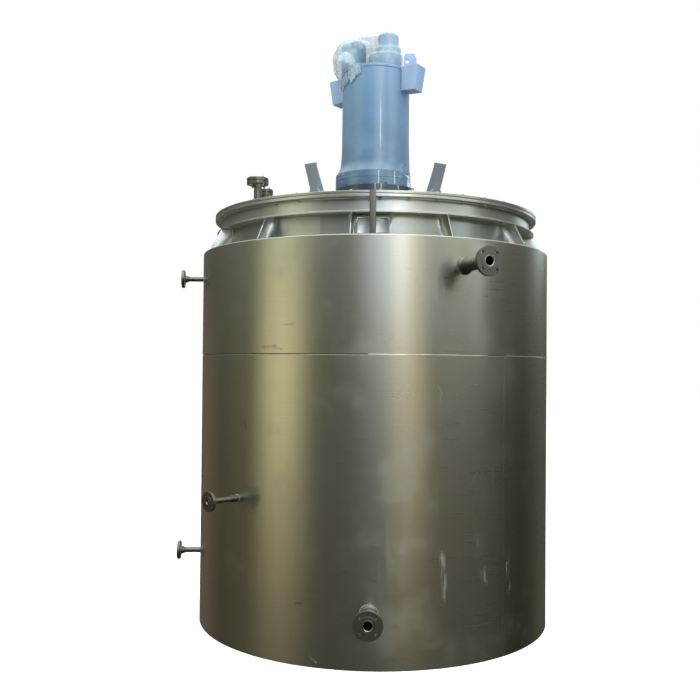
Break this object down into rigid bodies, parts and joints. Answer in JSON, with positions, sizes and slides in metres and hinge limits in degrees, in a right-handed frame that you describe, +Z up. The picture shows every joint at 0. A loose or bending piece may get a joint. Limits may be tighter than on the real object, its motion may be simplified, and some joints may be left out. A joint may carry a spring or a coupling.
{
  "type": "jacketed mixing tank with a top drive",
  "caption": "Upright round stainless mixing tank with an insulated jacket, flanged conical cover, side nozzles and a blue top drive.",
  "frame": {"origin": "centre of the round base, on the floor", "axes": "+Z up along the tank's axis; the front with the low nozzle faces -Y"},
  "size_m": [2.1409, 2.2009, 3.42],
  "materials": {
    "jacket_steel": "fine brushed stainless with faint scratches",
    "vessel_steel": "mill finish stainless",
    "flange_steel": "machined and ground stainless",
    "nozzle_steel": "dull turned stainless",
    "blue_enamel": "glossy mid-blue enamel",
    "pale_blue_enamel": "light blue enamel",
    "dark_enamel": "dark navy enamel",
    "clear_film": "clear crumpled plastic film"
  },
  "bodies": {
    "root": {"base_plate": "vessel_steel", "body_flange": "flange_steel", "cover": "flange_steel", "cover_nozzle_large": "nozzle_steel", "cover_nozzle_small": "nozzle_steel", "drive_barrel": "blue_enamel", "drive_casting": "blue_enamel", "drive_flange": "dark_enamel", "ear_front_right": "blue_enamel", "ear_rear_left": "blue_enamel", "eye_plate": "blue_enamel", "film_bag": "clear_film", "head_plate": "blue_enamel", "input_cap": "pale_blue_enamel", "input_cover": "pale_blue_enamel", "input_step": "pale_blue_enamel", "jacket_lower_1": "jacket_steel", "jacket_lower_2": "jacket_steel", "jacket_lower_3": "jacket_steel", "jacket_lower_4": "jacket_steel", "jacket_lower_5": "jacket_steel", "jacket_lower_6": "jacket_steel", "jacket_upper_1": "jacket_steel", "jacket_upper_2": "jacket_steel", "jacket_upper_3": "jacket_steel", "jacket_upper_4": "jacket_steel", "jacket_upper_5": "jacket_steel", "jacket_upper_6": "jacket_steel", "joint_bar": "flange_steel", "lug_front_left": "flange_steel", "lug_front_right": "flange_steel", "lug_rear_left": "flange_steel", "lug_rear_right": "flange_steel", "motor": "blue_enamel", "nozzle_front_low": "nozzle_steel", "nozzle_left_high": "nozzle_steel", "nozzle_left_low": "nozzle_steel", "nozzle_left_mid": "nozzle_steel", "nozzle_right_high": "nozzle_steel", "vessel_wall_1": "vessel_steel", "vessel_wall_2": "vessel_steel", "vessel_wall_3": "vessel_steel", "vessel_wall_4": "vessel_steel", "vessel_wall_5": "vessel_steel", "vessel_wall_6": "vessel_steel"}
  },
  "joints": []
}
